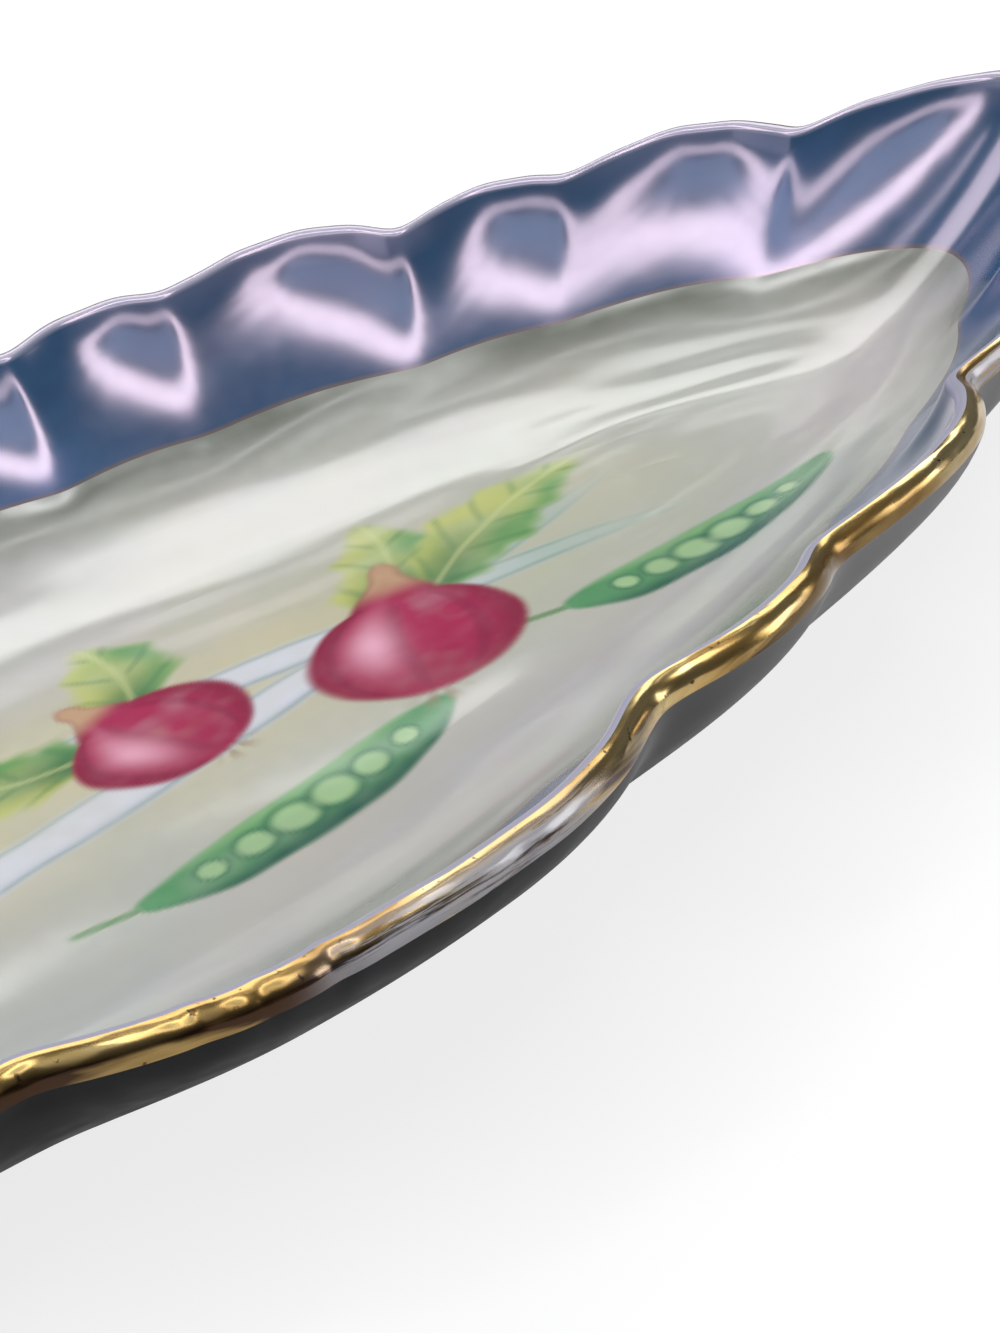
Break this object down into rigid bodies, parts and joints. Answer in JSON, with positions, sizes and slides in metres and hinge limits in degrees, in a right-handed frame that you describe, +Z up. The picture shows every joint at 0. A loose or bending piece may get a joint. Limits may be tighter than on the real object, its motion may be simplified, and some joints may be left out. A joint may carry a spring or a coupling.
{
  "type": "vegetable dish",
  "caption": "Shallow boat-shaped oval porcelain serving dish with a scalloped, rolled and gilded lip, lustre-glazed border, pearl-glazed well and an oval foot ring, for serving vegetables.",
  "frame": {"origin": "centre of the foot ring at table level", "axes": "+X along the dish towards one end, +Y across it, +Z up out of the well"},
  "size_m": [0.292, 0.155, 0.031],
  "materials": {
    "porcelain": "clear gloss glaze",
    "foot": "unglazed, matt",
    "pearl": "pearl lustre glaze",
    "lustre": "dark blue to mauve lustre glaze",
    "gilding": "polished gilding, worn in places"
  },
  "bodies": {
    "root": {"body": "porcelain", "foot_ring": "foot", "pearl_well": "pearl", "lustre_border": "lustre", "gold_rim": "gilding"}
  },
  "joints": []
}
